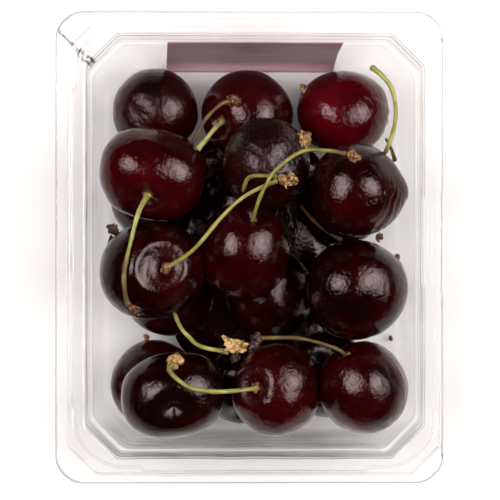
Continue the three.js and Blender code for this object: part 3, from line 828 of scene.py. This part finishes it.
# The plain label: a thin film on the outside of the far wall. Its line runs down the slope
# of the wall and on round the bend at its foot, and a flat loop about that line is carried
# from the left edge to the right edge.
def makeLabel():
    foot, top = tray["floorHalf"][1], tray["ledgeHalf"][1]
    wallFoot = tray["wall"] + tray["floorRadius"]
    lean = math.atan((top - foot) / (tray["ledgeHeight"] - wallFoot))
    bendRadius = tray["floorRadius"] + tray["wall"] + label["standOff"]
    bendMiddle = np.array([tray["bowlShift"][1] + foot - tray["floorRadius"], wallFoot])
    straight = (label["top"] - wallFoot) / math.cos(lean)
    tail = bendRadius * math.radians(label["tail"])
    down = np.linspace(0, straight + tail, label["steps"][0])
    angle = -lean + np.maximum(down - straight, 0) / bendRadius
    outwards = np.stack([np.cos(angle), -np.sin(angle)], axis=-1)
    along = np.stack([-math.sin(lean), -math.cos(lean)]) * np.minimum(down - straight, 0)[:, None]
    loop = thereAndBack(bendMiddle + bendRadius * outwards + along)[None]
    across = np.linspace(-label["width"] / 2, label["width"] / 2, label["steps"][1])[:, None]
    x = across - thereAndBack(down) * math.sin(math.radians(label["turn"]))
    faces = np.repeat([0.5, -0.5], len(down)) * label["thickness"]
    curl, waveLength = label["curl"]
    wave = curl * uneven(np.stack(np.broadcast_arrays(x + 0.5, loop[..., 1], 0), axis=-1), waveLength, 91)
    place = loop + thereAndBack(outwards)[None] * (faces + wave)[..., None]
    grid = np.stack([label["centreX"] + x, place[..., 0], np.maximum(place[..., 1], 0)], axis=-1)
    return joinSkins("plain_label", [closeSkin(grid)])


plainLabel = makeLabel()
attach(plainLabel, "root")
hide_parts("label")
print("label made")


def newMaterial(name):
    material = bpy.data.materials.new(name)
    material.use_nodes = True
    return material, material.node_tree, material.node_tree.nodes["Principled BSDF"]


# Links an output, or sets the socket when a plain value is given.
def connect(tree, value, socket):
    if isinstance(value, bpy.types.NodeSocket):
        tree.links.new(value, socket)
    else:
        socket.default_value = value


def setInputs(tree, node, values):
    for name, value in values.items():
        connect(tree, value, node.inputs[name])


def addNode(tree, kind, values=None, **settings):
    node = tree.nodes.new("ShaderNode" + kind)
    for name, value in settings.items():
        setattr(node, name, value)
    setInputs(tree, node, values or {})
    return node


# A colour that follows a value between the given stops.
def ramp(tree, value, stops):
    node = addNode(tree, "ValToRGB", {"Fac": value})
    elements = node.color_ramp.elements
    while len(elements) < len(stops):
        elements.new(0.5)
    for element, (position, colour) in zip(elements, stops):
        element.position = position
        element.color = (*colour, 1)
    return node.outputs["Color"]


# A sum, product and so on of values or sockets.
def maths(tree, operation, *values, clamp=False):
    node = addNode(tree, "Math", operation=operation, use_clamp=clamp)
    for socket, value in zip(node.inputs, values):
        connect(tree, value, socket)
    return node.outputs[0]


# A value times a second one, plus a third.
def timesPlus(tree, value, factor, added, clamp=False):
    return maths(tree, "MULTIPLY_ADD", value, factor, added, clamp=clamp)


def blendColours(tree, share, first, second):
    node = addNode(tree, "Mix", data_type="RGBA")
    for socket, value in zip((node.inputs[0], node.inputs[6], node.inputs[7]), (share, first, second)):
        connect(tree, (*value, 1) if isinstance(value, tuple) else value, socket)
    return node.outputs[2]


def mark(tree, name):
    return addNode(tree, "Attribute", attribute_name=name).outputs["Fac"]


def objectPlace(tree):
    return addNode(tree, "TexCoord").outputs["Object"]


# The effects that the materials share are node groups with named inputs and outputs.
def newGroup(name, inputs, outputs):
    group = bpy.data.node_groups.new(name, "ShaderNodeTree")
    for way, sockets in (("INPUT", inputs), ("OUTPUT", outputs)):
        for socketName, kind in sockets.items():
            group.interface.new_socket(socketName, in_out=way, socket_type="NodeSocket" + kind)
    return group, group.nodes.new("NodeGroupInput").outputs, group.nodes.new("NodeGroupOutput")


# A base value made uneven by noise: base + amount x (noise - 0.5).
def unevenToneGroup():
    numbers = ("Scale", "Detail", "Roughness", "Amount", "Base")
    group, given, result = newGroup(
        "uneven tone", {"Place": "Vector", **dict.fromkeys(numbers, "Float")},
        dict.fromkeys(("Tone", "Noise"), "Float"))
    grain = addNode(group, "TexNoise", {
        "Vector": given["Place"], "Scale": given["Scale"], "Detail": given["Detail"],
        "Roughness": given["Roughness"]}).outputs["Fac"]
    centred = maths(group, "SUBTRACT", grain, 0.5)
    tone = timesPlus(group, centred, given["Amount"], given["Base"])
    setInputs(group, result, {"Tone": tone, "Noise": grain})
    return group


# A fine relief: a normal from a height, as strong as asked.
def reliefGroup():
    numbers = ("Height", "Strength", "Distance")
    group, given, result = newGroup("fine relief", dict.fromkeys(numbers, "Float"), {"Normal": "Vector"})
    bump = addNode(group, "Bump", {name: given[name] for name in numbers})
    connect(group, bump.outputs["Normal"], result.inputs["Normal"])
    return group


unevenToneTree = unevenToneGroup()
reliefTree = reliefGroup()


# Scale and amount come as one pair, as the materials' dictionaries give them.
def unevenTone(tree, place, scaleAmount, base=0.0, detail=3.0, rough=0.5):
    scale, amount = scaleAmount
    return addNode(tree, "Group", node_tree=unevenToneTree, values={
        "Place": place, "Scale": scale, "Detail": detail, "Roughness": rough,
        "Amount": amount, "Base": base}).outputs


def fineRelief(tree, height, strength, distance):
    return addNode(tree, "Group", node_tree=reliefTree, values={
        "Height": height, "Strength": strength, "Distance": distance}).outputs["Normal"]


cherryLook = {
    "tones": [(0, (0.0045, 0.0002, 0.0004)), (0.45, (0.026, 0.0005, 0.001)), (1, (0.075, 0.0009, 0.0028))],
    "speck": (0.35, 0.18, 0.16),
    "roughness": 0.11,
    "surface": {"Specular IOR Level": 0.24, "Specular Tint": (1, 0.76, 0.79, 1)},
    "patches": (70.0, 1.1),  # noise: scale, amount
    "streaks": (420.0, 0.35),
    "pebbles": (900.0, 0.16),
    "ripples": (330.0, 1.0),
    "grain": (2600.0, 1.0),
    "specks": (330.0, 0.075, 0.09),  # scale, size, strength
    "relief": 0.00026,
}


# Dark skin in red patches and fine streaks with pale specks. It is rougher in the hollow and
# where the fruit is wrinkled, paler along the seam and darker towards the tip.
def cherrySkinMaterial():
    material, tree, shader = newMaterial("dark cherry skin")
    place, wrinkled = objectPlace(tree), mark(tree, "wrinkled")
    toned = timesPlus(tree, mark(tree, "seam"), 0.12, mark(tree, "tone"))
    toned = timesPlus(tree, mark(tree, "fromStem"), -0.06, toned)
    patches = unevenTone(tree, place, cherryLook["patches"], maths(tree, "ADD", toned, -0.17), 2.0)
    streaks = unevenTone(tree, place, cherryLook["streaks"], patches["Tone"])
    colour = ramp(tree, streaks["Tone"], cherryLook["tones"])
    scale, size, strength = cherryLook["specks"]
    cells = addNode(tree, "TexVoronoi", {"Vector": place, "Scale": scale})
    specks = ramp(tree, cells.outputs["Distance"], [(0.0, (1, 1, 1)), (size, (0, 0, 0))])
    colour = blendColours(tree, maths(tree, "MULTIPLY", specks, strength), colour, cherryLook["speck"])
    rough = timesPlus(tree, maths(tree, "POWER", wrinkled, 3.0), 0.16, cherryLook["roughness"])
    rough = timesPlus(tree, mark(tree, "hollow"), 0.2, rough)
    pebbles = unevenTone(tree, place, cherryLook["pebbles"], rough, 2.0)
    ripples = unevenTone(tree, place, cherryLook["ripples"], detail=2.0)
    grain = unevenTone(tree, place, cherryLook["grain"], detail=2.0)
    height = timesPlus(tree, ripples["Noise"], 1.2, pebbles["Noise"])
    height = timesPlus(tree, grain["Noise"], 0.2, height)
    bumpy = timesPlus(tree, wrinkled, 0.3, 0.4)
    setInputs(tree, shader, {
        "Base Color": colour, "Roughness": pebbles["Tone"], **cherryLook["surface"],
        "Normal": fineRelief(tree, height, bumpy, cherryLook["relief"])})
    return material


stemLook = {
    "tones": [(0, (0.5, 0.45, 0.17)), (0.3, (0.27, 0.25, 0.045)), (0.62, (0.12, 0.085, 0.018)),
              (1, (0.07, 0.022, 0.012))],
    "surface": {"Roughness": 0.5, "Specular IOR Level": 0.2},
    "streaks": (2.2, 1.3),  # noise: scale, amount
    "blotches": (230.0, 0.9),
    "streakLength": 0.09,  # noise steps per mm along the stem, against 1 across it
    "relief": (0.5, 0.00025),  # strength, distance in metres
}


# Green stems with long streaks along them, brown blotches and browner ends.
def stemMaterial():
    material, tree, shader = newMaterial("green cherry stem")
    runs = addNode(tree, "CombineXYZ", {
        "X": mark(tree, "cosAround"), "Y": mark(tree, "sinAround"),
        "Z": maths(tree, "MULTIPLY", mark(tree, "travelled"), stemLook["streakLength"])})
    fromMiddle = maths(tree, "ABSOLUTE", maths(tree, "SUBTRACT", mark(tree, "alongStem"), 0.5))
    ends = maths(tree, "MULTIPLY", maths(tree, "POWER", fromMiddle, 4.0), 4.0)
    browned = maths(tree, "ADD", mark(tree, "brown"), ends)
    streaks = unevenTone(tree, runs.outputs[0], stemLook["streaks"], browned, 4.0, 0.6)
    blotches = unevenTone(tree, objectPlace(tree), stemLook["blotches"], streaks["Tone"])
    setInputs(tree, shader, {
        "Base Color": ramp(tree, blotches["Tone"], stemLook["tones"]), **stemLook["surface"],
        "Normal": fineRelief(tree, streaks["Noise"], *stemLook["relief"])})
    return material


plasticLook = {
    "colour": (0.86, 0.81, 0.785),
    # the dark colour that the painted reflections and painted shade on the sheet blend towards
    "lineColour": (0.13, 0.11, 0.105),
    "roughness": 0.1,
    "smears": (60.0, 0.08),
    "metallic": 0.45,
    "facing": 0.005,  # how solid the sheet looks square on
    "edgeOn": 0.38,  # and when it is seen along its surface
    "narrowing": 8.0,
    # how solid the painted dark lines at the bends and creases are
    "lineSolid": 0.8,
    "bruiseSolid": 0.7,
}


# Thin clear plastic: nearly see-through square on, and more like a pale mirror edge on. The bends are
# painted as darker, more solid lines that stand for their reflections, the walls carry a painted reflection
# of the dark fruit, and the flange over the near and left walls a painted shade.
def clearPlasticMaterial():
    material, tree, shader = newMaterial("clear formed plastic")
    bend, bruise, smoke, haze = (mark(tree, name) for name in ("bend", "bruise", "smoke", "haze"))
    smears = unevenTone(tree, objectPlace(tree), plasticLook["smears"], plasticLook["roughness"])
    weight = addNode(tree, "LayerWeight", {"Blend": 0.5})
    edgeOn = maths(tree, "POWER", weight.outputs["Facing"], plasticLook["narrowing"])
    solid = timesPlus(tree, edgeOn, plasticLook["edgeOn"], plasticLook["facing"])
    solid = timesPlus(tree, edgeOn, smoke, solid)
    solid = maths(tree, "ADD", solid, haze)
    # bends and creases are painted as more solid, darker lines, a painted reflection
    solid = timesPlus(tree, bend, plasticLook["lineSolid"], solid)
    solid = timesPlus(tree, bruise, plasticLook["bruiseSolid"], solid, clamp=True)
    shade = timesPlus(tree, bend, 0.95, bruise)
    # the painted reflection and painted shade darken the sheet towards the dark colour
    shade = timesPlus(tree, maths(tree, "ADD", smoke, haze), 3.0, shade, clamp=True)
    setInputs(tree, shader, {
        "Base Color": blendColours(tree, shade, plasticLook["colour"], plasticLook["lineColour"]),
        "Roughness": smears["Tone"], "Metallic": plasticLook["metallic"], "Alpha": solid})
    return material


knobLook = {
    "tones": [(0, (0.55, 0.36, 0.13)), (0.3, (0.26, 0.12, 0.03)), (0.65, (0.08, 0.024, 0.012)),
              (1, (0.012, 0.004, 0.004))],
    "surface": {"Roughness": 0.5, "Specular IOR Level": 0.25},
    "flecks": (750.0, 2.2),
    "relief": (0.6, 0.0002),
}


# Dry knobs and bract: tan to nearly black in coarse flecks, with paler edges on the scales.
def knobMaterial():
    material, tree, shader = newMaterial("dry stem knob")
    darkness = maths(tree, "ADD", mark(tree, "dark"), 0.176)
    darkness = timesPlus(tree, mark(tree, "edge"), -0.25, darkness)
    flecks = unevenTone(tree, objectPlace(tree), knobLook["flecks"], darkness, 4.0, 0.65)
    setInputs(tree, shader, {
        "Base Color": ramp(tree, flecks["Tone"], knobLook["tones"]), **knobLook["surface"],
        "Normal": fineRelief(tree, flecks["Noise"], *knobLook["relief"])})
    return material


labelLook = {
    "tones": [(0.35, (0.52, 0.265, 0.315)), (0.7, (0.66, 0.42, 0.47))],
    "roughness": 0.5,
    "streaks": (45.0, 0.12),
    "stretch": (1, 12, 12),  # how much finer the streaks are down the film than across
}


# Bare mauve film with faint streaks across it, a little rougher in places.
def labelMaterial():
    material, tree, shader = newMaterial("plain label film")
    stretch = addNode(tree, "Mapping", {"Vector": objectPlace(tree), "Scale": labelLook["stretch"]})
    streaks = unevenTone(tree, stretch.outputs["Vector"], labelLook["streaks"], labelLook["roughness"], 4.0)
    colour = ramp(tree, streaks["Noise"], labelLook["tones"])
    setInputs(tree, shader, {"Base Color": colour, "Roughness": streaks["Tone"]})
    return material


stemKnobs.data.materials.append(knobMaterial())
plainLabel.data.materials.append(labelMaterial())
clearTray.data.materials.append(clearPlasticMaterial())
cherryFruit.data.materials.append(cherrySkinMaterial())
cherryStems.data.materials.append(stemMaterial())
print("materials made")


studio = {
    "floorHalf": 3000,
    "floorDepth": 0.3,
    "floorColour": (0.86, 0.815, 0.8, 1),
    "floorRoughness": 0.9,
    "cameraPlace": (-10, -5.6, 863),
    "cameraAim": (0.12, -0.84, 63),
    "frameWidth": 149.25,
    # place, width, brightness of its face, spread in degrees, then whether it shows in gloss
    # and whether it lights matt surfaces
    "lamps": {
        "soft box left": ((-420, 125, 620), 540, 7.5, 180, True, False),
        "left middle": ((-410, 122, 605), 280, 7, 180, True, False),
        "soft box right": ((480, 125, 600), 820, 7, 180, True, False),
        "right middle": ((455, 100, 570), 400, 7.5, 180, True, False),
        "light left": ((-420, 30, 640), 400, 3.5, 140, False, True),
        "light right": ((434, 40, 640), 500, 2.9, 140, False, True),
    },
    "lampAim": (0, 0, 45),
    "skylight": (2.3, 60),  # strength and width in degrees of the even light from above
    "brightUpTo": (0.0, 0.06),  # sine of the height over which the surroundings turn dark
    "horizon": 0.5,
    "overhead": 0.005,
}


# A pale matt floor, far wider than the picture.
def makeFloor():
    half = studio["floorHalf"] * mm
    corners = [(-half, -half), (half, -half), (half, half), (-half, half)]
    mesh = bpy.data.meshes.new("floor")
    mesh.from_pydata([(x, y, -studio["floorDepth"] * mm) for x, y in corners], [], [(0, 1, 2, 3)])
    material, tree, shader = newMaterial("pale studio floor")
    setInputs(tree, shader, {"Base Color": studio["floorColour"], "Roughness": studio["floorRoughness"]})
    mesh.materials.append(material)
    floor = addObject("floor", mesh)


# A round soft box whose face shines evenly: its power is brightness x area x pi.
def addLamp(name, place, width, brightness, spread, inGloss, onMatt):
    data = bpy.data.lights.new(name, "AREA")
    data.shape = "DISK"
    data.size = width * mm
    data.spread = math.radians(spread)
    data.energy = brightness * math.pi**2 * (width * mm / 2) ** 2
    lamp = addObject(name, data)
    towards = Vector(studio["lampAim"]) - Vector(place)
    lamp.location = Vector(place) * mm
    lamp.rotation_mode = "QUATERNION"
    lamp.rotation_quaternion = towards.to_track_quat("-Z", "Y")
    lamp.visible_camera = False
    lamp.visible_glossy = inGloss
    lamp.visible_diffuse = onMatt


# The even light from above that keeps the floor pale a long way behind the punnet.
def addSkylight():
    strength, width = studio["skylight"]
    data = bpy.data.lights.new("skylight", "SUN")
    data.energy = strength
    data.angle = math.radians(width)
    addObject("skylight", data).visible_glossy = False


# The surroundings: bright near the horizon and dark overhead, where only the lamps shine.
def makeWorld():
    world = bpy.data.worlds.new("studio")
    scene.world = world
    world.use_nodes = True
    tree = world.node_tree
    around = addNode(tree, "TexCoord").outputs["Generated"]
    direction = addNode(tree, "SeparateXYZ", {"Vector": around})
    low, high = studio["brightUpTo"]
    colour = ramp(tree, direction.outputs["Z"], [
        (low, (studio["horizon"],) * 3), (high, (studio["overhead"],) * 3)])
    connect(tree, colour, tree.nodes["Background"].inputs["Color"])


# The camera looks down with the far side of the tray up in the picture.
def makeCamera():
    data = bpy.data.cameras.new("camera")
    camera = addObject("camera", data)
    place, aim = Vector(studio["cameraPlace"]) * mm, Vector(studio["cameraAim"]) * mm
    ahead = (aim - place).normalized()
    right = ahead.cross(Vector((0, 1, 0))).normalized()
    up = right.cross(ahead)
    data.sensor_width = 36
    data.lens = data.sensor_width * (aim - place).length / (studio["frameWidth"] * mm)
    camera.matrix_world = Matrix((right, up, -ahead)).transposed().to_4x4()
    camera.location = place
    data.clip_start, data.clip_end = 0.01, 20
    scene.camera = camera


makeFloor()
for name, lamp in studio["lamps"].items():
    addLamp(name, *lamp)
addSkylight()
makeWorld()
makeCamera()
scene.view_settings.view_transform = "Standard"
print("floor, light and camera made")
